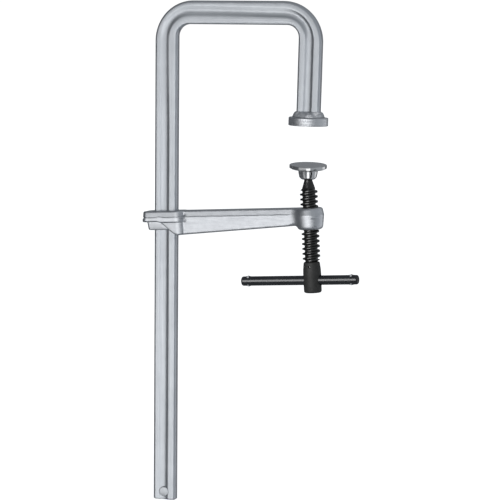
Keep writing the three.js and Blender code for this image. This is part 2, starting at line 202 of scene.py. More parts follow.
def carve(obj, operation, *tools, sharp=32.0):
    """Cuts the tools from obj or joins them to it, then removes the tools."""
    for tool in tools:
        step = obj.modifiers.new("carve", "BOOLEAN")
        step.operation = operation
        step.solver = "EXACT"
        step.object = tool
    depsgraph = bpy.context.evaluated_depsgraph_get()
    mesh = bpy.data.meshes.new_from_object(obj.evaluated_get(depsgraph))
    obj.modifiers.clear()
    obj.data = mesh
    for tool in tools:
        bpy.data.objects.remove(tool)
    mesh.shade_smooth()
    mesh.set_sharp_from_angle(angle=math.radians(sharp))


def drill(radius, reach, segments, matrix):
    """A tool that cuts a round hole along the frame's Z, reaching both ways."""
    profile = [(0, -reach), (radius, -reach), (radius, reach), (0, reach)]
    return make_piece("drill", turned(profile, segments), matrix)


def store(obj, name, matrix, value):
    """Keeps value(place) for each vertex, with the place in the piece's own millimetres."""
    inverse = matrix.inverted()
    layer = obj.data.attributes.new(name, "FLOAT_VECTOR", "POINT")
    for vertex, item in zip(obj.data.vertices, layer.data):
        item.vector = value(inverse @ vertex.co)


def turning(place):
    """The way round a turned piece (4 mm for each radian), the radius and the height."""
    return math.atan2(place.y, place.x) * 4, math.hypot(place.x, place.y), place.z


def finish_piece(obj, body, slot, node, *materials):
    """Puts the piece on its body, in the place of its CAD node."""
    for material in materials:
        obj.data.materials.append(material)
    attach(obj, body)
    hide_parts(node)


# ---- material helpers ----

class Surface:
    """A Principled material, with the nodes that its colour, roughness and relief come from."""

    def __init__(self, name, **sockets):
        self.material = bpy.data.materials.new(name)
        self.material.use_nodes = True
        self.tree = self.material.node_tree
        self.shader = self.tree.nodes["Principled BSDF"]
        for socket, value in sockets.items():
            self.shader.inputs[socket.replace("_", " ")].default_value = value
        self.position = self.node("TexCoord").outputs["Object"]

    def node(self, kind, **settings):
        made = self.tree.nodes.new("ShaderNode" + kind)
        for key, value in settings.items():
            setattr(made, key, value)
        return made

    def link(self, source, target):
        self.tree.links.new(source, target)

    def attribute(self, name):
        return self.node("Attribute", attribute_name=name).outputs["Vector"]

    def stretched(self, source, scale):
        mapping = self.node("Mapping")
        mapping.inputs["Scale"].default_value = scale
        self.link(source, mapping.inputs["Vector"])
        return mapping.outputs["Vector"]

    def noise(self, scale, detail=3.0, source=None):
        made = self.node("TexNoise")
        made.inputs["Scale"].default_value = scale
        made.inputs["Detail"].default_value = detail
        made.inputs["Roughness"].default_value = 0.55
        self.link(source or self.position, made.inputs["Vector"])
        return made.outputs["Fac"]

    def ramp(self, source, low, high, start, end):
        made = self.node("MapRange")
        made.inputs["From Min"].default_value = low
        made.inputs["From Max"].default_value = high
        made.inputs["To Min"].default_value = start
        made.inputs["To Max"].default_value = end
        self.link(source, made.inputs["Value"])
        return made.outputs["Result"]

    def added(self, *sources):
        made = self.node("Math", operation="ADD")
        for source, socket in zip(sources, made.inputs):
            self.link(source, socket)
        return made.outputs["Value"]

    def blend(self, source, low, high, first, second, share=1):
        """From the first colour towards the second, up to the share, as the source rises."""
        made = self.node("Mix", data_type="RGBA")
        self.link(self.ramp(source, low, high, 0, share), made.inputs["Factor"])
        for socket, value in ((made.inputs[6], first), (made.inputs[7], second)):
            if isinstance(value, tuple):
                socket.default_value = (*value, 1)
            else:
                self.link(value, socket)
        return made.outputs[2]

    def bump(self, height, depth):
        """Adds a relief of the given depth, in millimetres, to what is there."""
        made = self.node("Bump")
        made.inputs["Strength"].default_value = 1.0
        made.inputs["Distance"].default_value = depth * MM
        self.link(height, made.inputs["Height"])
        before = self.shader.inputs["Normal"]
        if before.is_linked:
            self.link(before.links[0].from_socket, made.inputs["Normal"])
        self.link(made.outputs["Normal"], before)

    def colour(self, source):
        self.link(source, self.shader.inputs["Base Color"])

    def rough(self, source):
        self.link(source, self.shader.inputs["Roughness"])


# ---- materials ----

def plated_rail_material():
    """Satin plate over drawn steel: grain that follows the bends, faint clouds and scuffs."""
    s = Surface("plated_rail", Metallic=1.0)
    path = s.attribute("path")
    grain = s.noise(1.0, 4.0, s.stretched(path, (0.03, 4.0, 4.0)))
    lines = s.noise(1.0, 2.0, s.stretched(path, (0.01, 1.1, 1.1)))
    clouds = s.noise(60.0, 4.0)
    scuffs = s.noise(700.0, 5.0)
    tone = s.blend(clouds, 0.3, 0.7, (0.595, 0.62, 0.65), (0.655, 0.68, 0.71))
    s.colour(s.blend(grain, 0.35, 0.75, tone, (0.52, 0.53, 0.55), share=0.35))
    s.rough(s.added(s.ramp(lines, 0.3, 0.7, 0.33, 0.43), s.ramp(scuffs, 0.45, 0.75, 0, 0.06)))
    s.bump(grain, 0.012)
    s.bump(scuffs, 0.01)
    return s.material


def stop_pin_material():
    """The same plate on the pin's sawn and polished end, a little brighter."""
    s = Surface("stop_pin", Metallic=1.0)
    grain = s.noise(1600.0, 4.0)
    spots = s.noise(450.0, 3.0)
    s.colour(s.blend(spots, 0.35, 0.7, (0.84, 0.86, 0.88), (0.72, 0.74, 0.77)))
    s.rough(s.ramp(grain, 0.3, 0.7, 0.36, 0.48))
    s.bump(grain, 0.015)
    return s.material


def turned_foot_material():
    """Turned steel: rings cut round the rim by the tool, in uneven bands of bright and dull."""
    s = Surface("turned_foot", Metallic=1.0)
    ring = s.attribute("turning")
    cuts = s.noise(1.0, 3.0, s.stretched(ring, (0.07, 2.2, 2.2)))
    fine = s.noise(1.0, 4.0, s.stretched(ring, (0.12, 9.0, 9.0)))
    spots = s.noise(500.0, 3.0)
    tone = s.blend(cuts, 0.35, 0.65, (0.80, 0.81, 0.83), (0.64, 0.65, 0.67))
    s.colour(s.blend(spots, 0.6, 0.72, tone, (0.36, 0.37, 0.39), share=0.5))
    s.rough(s.ramp(cuts, 0.3, 0.7, 0.42, 0.50))
    s.bump(cuts, 0.012)
    s.bump(fine, 0.003)
    return s.material


def weld_material():
    """A weld bead that was dressed by hand and plated over, with painted shade in its hollows and a
    lighter colour on its raised lumps.
    """
    s = Surface("foot_weld", Metallic=1.0)
    lumps = s.noise(1.0, 3.0, s.stretched(s.attribute("turning"), (0.5, 0.55, 0.8)))
    grit = s.noise(1500.0, 4.0)
    # painted shade: the colour darkens where the lumps' relief sinks and lightens where it rises
    s.colour(s.blend(lumps, 0.35, 0.65, (0.50, 0.51, 0.53), (0.80, 0.81, 0.83)))
    s.rough(s.ramp(grit, 0.3, 0.7, 0.34, 0.5))
    s.bump(lumps, 0.18)
    s.bump(grit, 0.03)
    return s.material


def forged_arm_material():
    """Forged steel under satin plate: die marks, fine grit and drag lines along the arm."""
    s = Surface("forged_arm", Metallic=1.0)
    marks = s.noise(150.0, 3.0)
    grit = s.noise(1300.0, 5.0)
    drag = s.noise(1.0, 4.0, s.stretched(s.position, (55.0, 900.0, 1100.0)))
    tone = s.blend(marks, 0.35, 0.68, (0.69, 0.705, 0.73), (0.62, 0.635, 0.66))
    s.colour(s.blend(grit, 0.5, 0.8, tone, (0.45, 0.46, 0.48), share=0.5))
    s.rough(s.ramp(drag, 0.3, 0.7, 0.36, 0.48))
    s.bump(marks, 0.07)
    s.bump(grit, 0.022)
    s.bump(drag, 0.03)
    return s.material


def black_thread_material():
    """Oiled black oxide on the screw, in uneven patches."""
    s = Surface("black_spindle", Metallic=0.0, Specular_IOR_Level=0.6)
    oil = s.noise(220.0, 4.0)
    grit = s.noise(1800.0, 4.0)
    s.colour(s.blend(oil, 0.4, 0.75, (0.005, 0.005, 0.005), (0.014, 0.014, 0.012)))
    s.rough(s.ramp(oil, 0.3, 0.7, 0.26, 0.34))
    s.bump(grit, 0.004)
    return s.material


def black_head_material():
    """Dull black oxide over a cast surface with a fine, even grit."""
    s = Surface("black_head", Metallic=0.0, Specular_IOR_Level=0.3)
    grit = s.noise(1500.0, 5.0)
    patches = s.noise(140.0, 3.0)
    tone = s.blend(patches, 0.3, 0.7, (0.017, 0.017, 0.016), (0.030, 0.030, 0.029))
    s.colour(s.blend(grit, 0.5, 0.75, tone, (0.055, 0.055, 0.053), share=0.7))
    s.rough(s.ramp(grit, 0.3, 0.7, 0.48, 0.62))
    s.bump(grit, 0.05)
    return s.material


def black_bar_material():
    """Drawn bar under glossy black, with hairlines along it and bare steel at the ears, whose pale
    grey is also a painted highlight.
    """
    s = Surface("black_bar", Metallic=0.0, Specular_IOR_Level=0.6)
    drawn = s.noise(1.0, 3.0, s.stretched(s.attribute("turning"), (3.0, 0.0, 0.02)))
    smears = s.noise(90.0, 3.0)
    tone = s.blend(smears, 0.35, 0.7, (0.009, 0.010, 0.012), (0.016, 0.018, 0.021))
    tone = s.blend(drawn, 0.6, 0.8, tone, (0.03, 0.033, 0.037), share=0.4)
    # pale grey at the top and bottom of each ear: bare steel, and a painted highlight there
    s.colour(s.blend(s.attribute("ear_wear_and_highlight"), 0.25, 0.6, tone, (0.50, 0.51, 0.52)))
    s.rough(s.ramp(smears, 0.3, 0.7, 0.24, 0.30))
    return s.material


def inner_steel_material():
    """Hardened steel inside the swivel, with a smear of grease."""
    s = Surface("inner_steel", Metallic=1.0)
    grease = s.noise(300.0, 3.0)
    s.colour(s.blend(grease, 0.4, 0.65, (0.36, 0.36, 0.37), (0.20, 0.19, 0.17)))
    s.rough(s.ramp(grease, 0.3, 0.7, 0.22, 0.4))
    s.bump(s.noise(1400.0, 3.0), 0.01)
    return s.material


def bright_cup_material():
    """Bright plate on the cup and the back of the disc."""
    s = Surface("bright_pad", Metallic=1.0)
    haze = s.noise(240.0, 4.0)
    s.colour(s.blend(haze, 0.35, 0.7, (0.70, 0.70, 0.70), (0.62, 0.62, 0.625)))
    s.rough(s.ramp(haze, 0.3, 0.7, 0.09, 0.17))
    s.bump(s.noise(900.0, 3.0), 0.006)
    return s.material


def ground_face_material():
    """The pad's ground face, with fine parallel lines slanting across it."""
    s = Surface("ground_face", Metallic=1.0)
    lines = s.noise(1.0, 4.0, s.stretched(s.attribute("grinding"), (0.04, 3.2, 1.0)))
    s.colour(s.blend(lines, 0.35, 0.7, (0.88, 0.88, 0.89), (0.66, 0.66, 0.67)))
    s.rough(s.ramp(lines, 0.3, 0.7, 0.30, 0.42))
    s.bump(lines, 0.03)
    return s.material


# ---- rail ----

def box_mm(node):
    low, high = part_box(node)
    return low / MM, high / MM


RAIL_LOW, RAIL_HIGH = box_mm("rail")
RAIL_LEFT = RAIL_LOW.x
RAIL_END = RAIL_LOW.z
BOW_TOP = RAIL_HIGH.z
RAIL_DEPTH = RAIL_HIGH.y - RAIL_LOW.y
RAIL_WIDTH = 24.0
RAIL_CORNER = 2.8
BEND_OUTSIDE, BEND_INSIDE = 41.0, 12.5  # radii of the bow's two bends
BEND_SWELL = 0.9  # how much the bar thickens on the squeezed side of a bend
FOOT_TOP = 8.5
GAP = 0.35  # air between pieces that are joined in the real clamp
STOP_AT = 8.5  # the stop pin's centre, up from the rail's end
STOP_RADIUS = 5.0

# The groove's half width, its shift from the bar's middle and its depth: on the straight rail,
# round the bow and on the short leg, with the stretches of the bar where one turns into the next.
STRAIGHT_GROOVE = np.array((5.0, -0.8, 1.4))
BOW_GROOVE = np.array((4.4, -1.4, 1.0))
LEG_GROOVE = np.array((4.5, 0.1, 1.55))
BOW_STARTS, LEG_STARTS = (380, 460), (540, 640)

# The stop pin's frame: Z through the rail, origin in the middle of the rail's thickness.
STOP_FRAME = local_frame(
    Vector((RAIL_LEFT + RAIL_WIDTH / 2, 0, RAIL_END + STOP_AT)) * MM, (1, 0, 0), (0, -1, 0))


def rail_section(half, shift, sink):
    """The rail's outline as (across, depth) points: on each face a groove between two ridges.

    The groove is 2 * half wide and sink deep, and lies shift away from the bar's middle.
    """
    side, face = RAIL_WIDTH / 2, RAIL_DEPTH / 2
    radius = (sink ** 2 + half ** 2) / (2 * sink)
    sweep = math.degrees(math.asin(half / radius))
    groove = arc(shift, -face + sink - radius, radius, 90 + sweep, 90 - sweep, 24)
    shoulder = [(1.9, 0), (0.5, 0.036), (0.1, 0.12), (-0.15, 0.228)]  # (out of the groove, down)
    front = [
        *rounded([(-side, 0, 0), (-side, -face, RAIL_CORNER), (0, -face, 0)], 8)[1:-1],
        *[(shift - half - out, -face + down) for out, down in shoulder],
        *groove[2:-2],
        *[(shift + half + out, -face + down) for out, down in reversed(shoulder)],
        *rounded([(0, -face, 0), (side, -face, RAIL_CORNER), (side, 0, 0)], 8)[1:-1],
    ]
    return front + [(p, -q) for p, q in reversed(front)]


def bent_section(run):
    """The outline at a distance along the bar, from the rail's end."""
    groove = STRAIGHT_GROOVE + (BOW_GROOVE - STRAIGHT_GROOVE) * ease(run, *BOW_STARTS)
    groove = groove + (LEG_GROOVE - BOW_GROOVE) * ease(run, *LEG_STARTS)
    return rail_section(*[float(g) for g in groove])


def bend_reach(direction, normals, inner_gap):
    """How far the inside of a bend lies from the centre of its outside arc."""
    reach = min(inner_gap / direction.dot(n) for n in normals if direction.dot(n) > 1e-6)
    first, second = normals
    to_corner = (first + second) * ((inner_gap - BEND_INSIDE) / (1 + first.dot(second)))
    point = direction * reach - to_corner
    if point.dot(first) > 0 and point.dot(second) > 0:
        along_ray = direction.dot(to_corner)
        spare = BEND_INSIDE ** 2 - to_corner.length_squared
        reach = along_ray + math.sqrt(spare + along_ray ** 2)
    return reach


def bend_stations(first, second, first_face, second_face, steps=36):
    """Outer and inner points round a bend. The outer faces are normals and distances."""
    turn = first.dot(second)
    a, b = first_face - BEND_OUTSIDE, second_face - BEND_OUTSIDE
    centre = (first * (a - b * turn) + second * (b - a * turn)) / (1 - turn * turn)
    start = math.atan2(first.y, first.x)
    swing = math.atan2(second.y, second.x) - start
    stations = []
    for i in range(steps + 1):
        angle = start + swing * i / steps
        direction = Vector((math.cos(angle), math.sin(angle)))
        reach = bend_reach(direction, (first, second), BEND_OUTSIDE - RAIL_WIDTH)
        stations.append((centre + direction * BEND_OUTSIDE, centre + direction * reach))
    return stations


def rail_stations():
    """Outer and inner points of the bar, in the XZ plane, from the rail's end to the foot."""
    def upright(z):
        return Vector((RAIL_LEFT, z)), Vector((RAIL_LEFT + RAIL_WIDTH, z))

    left, up = Vector((-1, 0)), Vector((0, 1))
    right = Vector((math.cos(LEG_LEAN), -math.sin(LEG_LEAN)))
    near_pin = [RAIL_END + 2.0 + i * 1.25 for i in range(14)]
    plain = np.linspace(RAIL_END + 24, BOW_TOP - BEND_OUTSIDE - 4, 24)
    stations = [upright(z) for z in (*near_pin, *plain)]
    stations += bend_stations(left, up, -RAIL_LEFT, BOW_TOP)
    turn_out = bend_stations(up, right, BOW_TOP, RAIL_WIDTH / 2)
    start, end = stations[-1][0].x, turn_out[0][0].x
    for share in (0.1, 0.3, 0.5, 0.7, 0.9):
        x = start + (end - start) * share
        stations.append((Vector((x, BOW_TOP)), Vector((x, BOW_TOP - RAIL_WIDTH))))
    stations += turn_out
    outer, inner = stations[-1]
    leg = -Vector((math.sin(LEG_LEAN), math.cos(LEG_LEAN)))
    length = outer.dot(-leg) - FOOT_TOP - GAP
    for share in (0.25, 0.5, 0.75, 1.0):
        stations.append((outer + leg * length * share, inner + leg * length * share))
    return stations


def ring_between(outer, inner, section, shrink=0.0, lift=0.0):
    """The outline laid between an outer and an inner point, drawn in by shrink and lifted."""
    across = inner - outer
    squeeze = BEND_SWELL * (1 - across.length / RAIL_WIDTH)
    ring = []
    for p, q in section:
        share = p * (1 - shrink / (RAIL_WIDTH / 2)) / RAIL_WIDTH + 0.5
        depth = q * (1 - shrink / (RAIL_DEPTH / 2)) * (1 + squeeze * (share - 0.5))
        point = outer + across * share
        ring.append((point.x, depth, point.y + lift))
    return ring


def rail():
    stations = rail_stations()
    middle = [(a + b) / 2 for a, b in stations]
    outer, inner = stations[0]
    drop = outer.y - RAIL_END
    path = [drop]
    for here, there in zip(middle, middle[1:]):
        path.append(path[-1] + (there - here).length)
    end_radius = 1.6
    rings = []
    for angle in np.radians((0, 22, 45, 68, 90)):
        shrink = end_radius * (1 - math.sin(angle))
        lift = end_radius * (1 - math.cos(angle)) - drop
        rings.append(ring_between(outer, inner, bent_section(0), shrink, lift))
    rings += [ring_between(a, b, bent_section(run)) for (a, b), run in zip(stations, path)]
    obj = make_piece("bow_rail", skin(rings), WORLD)
    carve(obj, "DIFFERENCE", drill(STOP_RADIUS + GAP, 20, 64, STOP_FRAME))
    store_path(obj.data, middle, path)
    finish_piece(obj, "frame", "plated_rail", "rail", plated_rail_material())


def store_path(mesh, middle, path):
    """Gives each vertex its place along, across and through the bar, in millimetres."""
    line = np.array([(p.x, p.y) for p in middle])
    run = np.array(path)
    step = np.diff(line, axis=0)
    squared = (step ** 2).sum(1)
    places = np.array([v.co for v in mesh.vertices]) / MM
    values = np.zeros((len(places), 3), np.float32)
    for i, (x, y, z) in enumerate(places):
        share = np.clip(((np.array((x, z)) - line[:-1]) * step).sum(1) / squared, 0, 1)
        away = np.array((x, z)) - line[:-1] - step * share[:, None]
        gap = np.hypot(*away.T)
        best = int(gap.argmin())
        side = np.sign(step[best, 0] * away[best, 1] - step[best, 1] * away[best, 0])
        reached = run[best] + (run[best + 1] - run[best]) * share[best]
        values[i] = (reached, side * gap[best], y)
    layer = mesh.attributes.new("path", "FLOAT_VECTOR", "POINT")
    layer.data.foreach_set("vector", values.ravel())


def stop_pin():
    half, edge = RAIL_DEPTH / 2, 0.5
    profile = rounded([(0, -half, 0), (STOP_RADIUS, -half, edge), (STOP_RADIUS, half, edge),
                       (0, half, 0)])
    obj = make_piece("stop_pin", turned(profile, 64), STOP_FRAME)
    finish_piece(obj, "frame", "plated_rail", "end_stop_pin", stop_pin_material())


# ---- fixed jaw ----

def anvil_foot():
    """A turned disc, with shallow tool cuts round its rim."""
    radius, bevel, cuts = 20.0, 0.9, 7
    pitch = (FOOT_TOP - 2 * bevel) / cuts
    rim = []
    for i in range(cuts):
        base = bevel + pitch * i
        depth = 0.05 + 0.02 * math.sin(2.3 * i)
        rim += [(radius, base), (radius, base + pitch * 0.7), (radius - depth, base + pitch * 0.85)]
    profile = [
        (0, 0), (9, 0), (radius - bevel, 0), (radius - 0.35, 0.15), (radius - 0.08, 0.45),
        *rim,
        (radius, FOOT_TOP - bevel), (radius - 0.25, FOOT_TOP - 0.3), (radius - 0.8, FOOT_TOP),
        (9, FOOT_TOP), (0, FOOT_TOP),
    ]
    obj = make_piece("anvil_foot", turned(profile, 128), FOOT, 25)
    store(obj, "turning", FOOT, turning)
    finish_piece(obj, "frame", "turned_foot", "fixed_foot", turned_foot_material())


def squared_circle(angle, half_x, half_y, squareness):
    """A point on an outline between an ellipse (squareness 2) and a rectangle (large)."""
    c, s = math.cos(angle), math.sin(angle)
    reach = (abs(c / half_x) ** squareness + abs(s / half_y) ** squareness) ** (-1 / squareness)
    return reach * c, reach * s


def weld_bead():
    """The bead flows from the bar's outline down to a rough ring on the foot."""
    base, top = FOOT_TOP + GAP, FOOT_TOP + GAP + 5.3
    half_x, half_y = RAIL_WIDTH / 2, RAIL_DEPTH / 2
    toe_radius = 16.4
    angles = [2 * math.pi * k / 120 for k in range(120)]
    rings = []
    for t in np.linspace(0, 1, 15):
        ring = []
        for angle in angles:
            near = Vector(squared_circle(angle, half_x + 0.6, half_y + 0.6, 9))
            toe = Vector((math.cos(angle), math.sin(angle))) * toe_radius
            lump = 0.28 * math.sin(5 * angle + 1.3) + 0.18 * math.sin(9 * angle + 0.4)
            lump = (lump + 0.1 * math.sin(17 * angle)) * math.sin(math.pi * t)
            point = near.lerp(toe, t ** 0.8)
            point += point.normalized() * lump
            ring.append((point.x, point.y, top + (base - top) * t ** 1.25 + 0.5 * lump))
        rings.append(ring)
    hole = [squared_circle(angle, half_x + 0.25, half_y + 0.25, 12) for angle in angles]
    rings += [[(x, y, height) for x, y in hole] for height in (base, top)]
    obj = make_piece("weld_bead", skin(rings, closed_along=True), FOOT, 50)
    store(obj, "turning", FOOT, turning)
    finish_piece(obj, "frame", "foot_weld", "foot_weld", weld_material())


# ---- sliding arm ----
# In the arm's frame: u along the arm, v through its depth, w up, with w = 0 on the top face.

COLLAR_END = -178.8
HEEL_START, HEEL_END = -163.0, -139.5
BAND_BOTTOM = -11.1  # the ledge under the collar's thicker band
ARM_ROOT, ARM_TIP = -25.2, -17.9  # the arm's underside at the heel and near the boss
ARM_HALF, BAND_HALF = 8.1, 12.5  # half depths
BOSS_BOTTOM = -22.2
BOSS_WIDEST = 14.6
PARTING = -6.4


def round_off(distance, radius):
    """How far a face draws in near an edge of the given radius."""
    near = np.clip(radius - distance, 0, radius)
    return radius - np.sqrt(radius * radius - near * near)


def boss_radius(w):
    """The barrel of the threaded boss, widest near its parting line."""
    shape = np.interp(w, [BOSS_BOTTOM, -7.4, 0], [12.9, BOSS_WIDEST, 13.2])
    return shape - round_off(-w, 2.0) - round_off(w - BOSS_BOTTOM, 3.6)


def arm_bottom(u):
    """The underside: flat, down the heel, then slowly up to the boss."""
    heel = BAND_BOTTOM + (ARM_ROOT - BAND_BOTTOM) * ease(u, HEEL_START, HEEL_END)
    taper = (ARM_TIP - ARM_ROOT) * np.clip((u - HEEL_END) / (-HEEL_END - 14), 0, 1)
    return heel + taper


def boss_reach(u):
    """The highest and the lowest place at which the boss is wider than u, or None."""
    levels = np.linspace(0, BOSS_BOTTOM, 400)
    inside = levels[boss_radius(levels) >= abs(u)]
    return (inside[0], inside[-1]) if len(inside) else None


def step_down(u, start, end, steep=0.86):
    """The collar's shoulder, from 0 to 1: a slow rounding, then a steep fall."""
    t = np.clip((u - start) / (end - start), 0, 1)
    fall = t ** 2.3
    return np.where(t < steep, fall, fall + (1 - fall) * ease(t, steep, 1.0))


def bell(distance, width):
    return np.exp(-(distance / width) ** 2)


def thumb_marks(u, w):
    """Two hollows beside the collar, above and below the parting line."""
    return 0.8 * bell(u + 133.2, 1.8) * (bell(w + 3.9, 1.5) + bell(w + 9.7, 1.5))


def arm_half_depth(u, w, top, bottom):
    """Half the forging's depth at (u, w), with draft to the parting."""
    near_parting = bell(w - PARTING, 0.9)
    shoulder = step_down(u, -141.7 - 1.5 * near_parting, -133.6 + 2.5 * near_parting)
    band = ARM_HALF + (BAND_HALF - ARM_HALF) * (1 - shoulder)
    widening = 2.0 + 1.2 * np.clip((u - HEEL_START) / (HEEL_END - HEEL_START), 0, 1)
    heel = ARM_HALF + widening * (1 - step_down(u, -142.0, -133.8))
    body = heel + (band - heel) * ease(w, BAND_BOTTOM - 1.0, BAND_BOTTOM + 0.5)
    draft = np.where(w > PARTING, 0.10 * (w - PARTING), 0.03 * (PARTING - w))
    body = body - thumb_marks(u, w) - draft - round_off(u - COLLAR_END, 5.8)
    body = body - round_off(top - w, 1.3)
    lower_edge = round_off(w - bottom, 2.2 + 2.3 * ease(u, -24, -13))
    body = np.where(w >= bottom, body - lower_edge, 0)
    barrel = boss_radius(w)
    half = np.sqrt(np.clip(barrel ** 2 - u * u, 0, None))
    if u < 0:
        half = np.maximum(neck_fillet(u, body, barrel), half)
    return half + trim_mark(u, w)


def neck_fillet(u, body, barrel):
    """The arm's side runs into the boss's barrel through a large hollow curve."""
    radius = 15.0
    start = -np.sqrt(np.clip((barrel + radius) ** 2 - (body + radius) ** 2, 0, None))
    end = start * barrel / (barrel + radius)
    rise = radius - np.sqrt(np.clip(radius ** 2 - (u - start) ** 2, 0, None))
    return np.where((body > 0) & (u < end), np.where(u > start, body + rise, body), 0)


def trim_mark(u, w):
    """A short ridge where the flash was trimmed off the boss."""
    rise = w + 10.4
    step = np.where(rise > 0, bell(rise, 0.7), bell(rise, 0.25))
    return 0.6 * ease(u, 4.5, 6) * (1 - ease(u, 11.5, 12.8)) * step


def parting_flash(u, w, line):
    """The thin raised line where the dies met, fading out before the boss."""
    height = 0.20 * (1 - ease(u, -22, -16)) * ease(u, COLLAR_END, COLLAR_END + 3)
    return height * bell(w - line, 0.30)


def arm_stations():
    """Where the sections lie, closest round the collar and the boss."""
    end = [COLLAR_END + d for d in (0, 0.1, 0.3, 0.65, 1.1, 1.6, 2.2, 2.9, 3.7, 4.6)]
    collar = np.arange(COLLAR_END + 5.4, -126, 0.65)
    middle = np.arange(-125, -26, 3.0)
    boss = np.arange(-25, 9.0, 0.6)
    tip = (BOSS_WIDEST - 0.02) * np.sin(np.radians(np.linspace(40, 90, 26)))
    return [*end, *collar, *middle, *boss, *tip]


def arm_rows(top, line, bottom):
    """Heights of a section's points, close at edges, parting line and ledge."""
    upper = np.array([0, 0.05, 0.16, 0.35, 0.62, 0.95, 1.35, 2, 2.8, 3.7, 4.6, 5.4, 6, 6.35, 6.6,
                      6.75, 6.9])
    middle = np.array([0.15, 0.3, 0.55, 0.9, 1.5, 2.2, 2.9, 3.3, 3.6, 3.9, 4.1])
    ledge = np.linspace(0.12, 1, 8)
    lower = np.array([1.2, 2.6, 4.2, 6, 7.8, 9.4, 10.6, 11.5, 12.1, 12.5, 12.75, 12.9, 13])
    ledge_top = max(BAND_BOTTOM + 0.6, bottom + 0.1)
    ledge_end = max(BAND_BOTTOM - 1.1, bottom + 0.03)
    bounds = [top, line, ledge_top, ledge_end, bottom]
    # divided first: the last row's rounding decides whether its half depth is 0
    return np.concatenate([
        start + (end - start) * (steps / steps[-1])
        for start, end, steps in zip(bounds, bounds[1:], (upper, middle, ledge, lower))])


def end_shift(u, w):
    """The collar's end leans: its upper lobe stands back, with a nick at the parting line."""
    upper = 0.7 + 0.5 * np.clip((w - PARTING) / 6, 0, 1)
    shift = np.where(w > PARTING, upper, 0.75 * bell(PARTING - w, 1.2))
    return (shift + 0.8 * bell(w - PARTING, 0.5)) * (1 - ease(u, COLLAR_END, COLLAR_END + 9))


def arm_ring(u):
    """One section of the forging, as (u, v, w) points."""
    low_arm = float(arm_bottom(u))
    boss = boss_reach(u)
    if u < -10:
        edge = float(round_off(u - COLLAR_END, 1.5))
        top, bottom = -edge, low_arm + edge
        bottom = min(bottom, boss[1]) if boss else bottom
    else:
        top, bottom = boss
    line = PARTING + 0.12 * math.sin(u * 0.35) + 0.55 * float(bell(u + 158.5, 2.2))
    line = min(top - 0.02, max(bottom + 0.2, line))
    rows = arm_rows(top, line, bottom)
    half = arm_half_depth(u, rows, top, low_arm) + parting_flash(u, rows, line)
    half = np.maximum(half, 0.0)
    places = zip(u + end_shift(u, rows), half, rows)
    front = [(float(a), -float(v), float(w)) for a, v, w in places]
    back = [(a, -v, w) for a, v, w in reversed(front)]
    (a_top, v_top, w_top), (a_low, v_low, w_low) = front[0], front[-1]
    under = [(a_low, v_low * -share, w_low) for share in (-0.5, 0, 0.5)]
    over = [(a_top, v_top * share, w_top) for share in (-0.5, 0, 0.5)]
    return [*front, *under, *back, *over]


def skirt_shape():
    """The thinner guide below the collar, with drafted ends and a rounded lower edge."""
    half, left, right, top = 9.6, -174.6, -139.0, -6.5
    levels = ((top, 0), (-12, 0.25), (-18.1, 0.5), (-18.8, 0.75), (-19.25, 1.15), (-19.4, 1.7))
    rings = []
    for w, inset in levels:
        near = left + 1.5 * (top - w) / 12.9 + inset
        far, side = right - inset, half - inset
        corners = [(near, -side, 2.6), (far, -side, 2.6), (far, side, 2.6), (near, side, 2.6)]
        rings.append([(x, y, w) for x, y in rounded(corners, 6)])
    return skin(rings)


def rail_hole_shape():
    """The hole for the rail, with a rib on each side that runs in the rail's groove."""
    left, right, half = -168.3, -141.6, 5.75
    centre, tip, rib, foot = (left + right) / 2, 4.3, 1.5, 2.9
    front = [(left, -half, 0.8), (centre - foot, -half, 0.5), (centre - rib, -tip, 0.5),
             (centre + rib, -tip, 0.5), (centre + foot, -half, 0.5), (right, -half, 0.8)]
    outline = rounded(front + [(x, -y, r) for x, y, r in reversed(front)], 5)
    return skin([[(x, y, w) for x, y in outline] for w in (8, -34)])


def sliding_arm():
    obj = make_piece("forged_arm", skin([arm_ring(u) for u in arm_stations()]), ARM, 40)
    carve(obj, "UNION", make_piece("skirt", skirt_shape(), ARM), sharp=40)
    hole = make_piece("hole", rail_hole_shape(), ARM)
    bore = threaded([(0, 9.5)], [(0, -31)], 9.2, -30.5, clearance=0.33)
    carve(obj, "DIFFERENCE", hole, make_piece("bore", bore, ARM), sharp=40)
    finish_piece(obj, "arm", "forged_arm", "sliding_arm", forged_arm_material())


# ---- spindle ----

# Places along the spindle are measured down from the pad's face.
BOSS_TOP = 43.5
BALL_AT, NECK_END, CONE_END, THREAD_END, SHANK_END = 9.9, 15.5, 24.2, 97.6, 109.6
HEAD_TOP, PIN_AT, SEAT_AT, BAR_AT, HEAD_END = 98.6, 103, 109.95, 117.2, 129.8
CREST, ROOT = 9.0, 6.5  # the thread's radii
PIN_RADIUS = 1.05
PITCH = 5.0
THREAD_PHASE = 0.7


def along(place):
    """Height in the arm's frame of a place along the spindle."""
    return BOSS_TOP - place


# Half of one thread, from the middle of the crest to the middle of the root, as (height, radius).
THREAD_HALF = [(0, CREST), (0.48, CREST), (0.68, 8.93), (0.82, 8.72), (1.08, 7.85), (1.34, 6.98),
               (1.5, 6.70), (1.8, 6.55), (PITCH / 2, ROOT)]


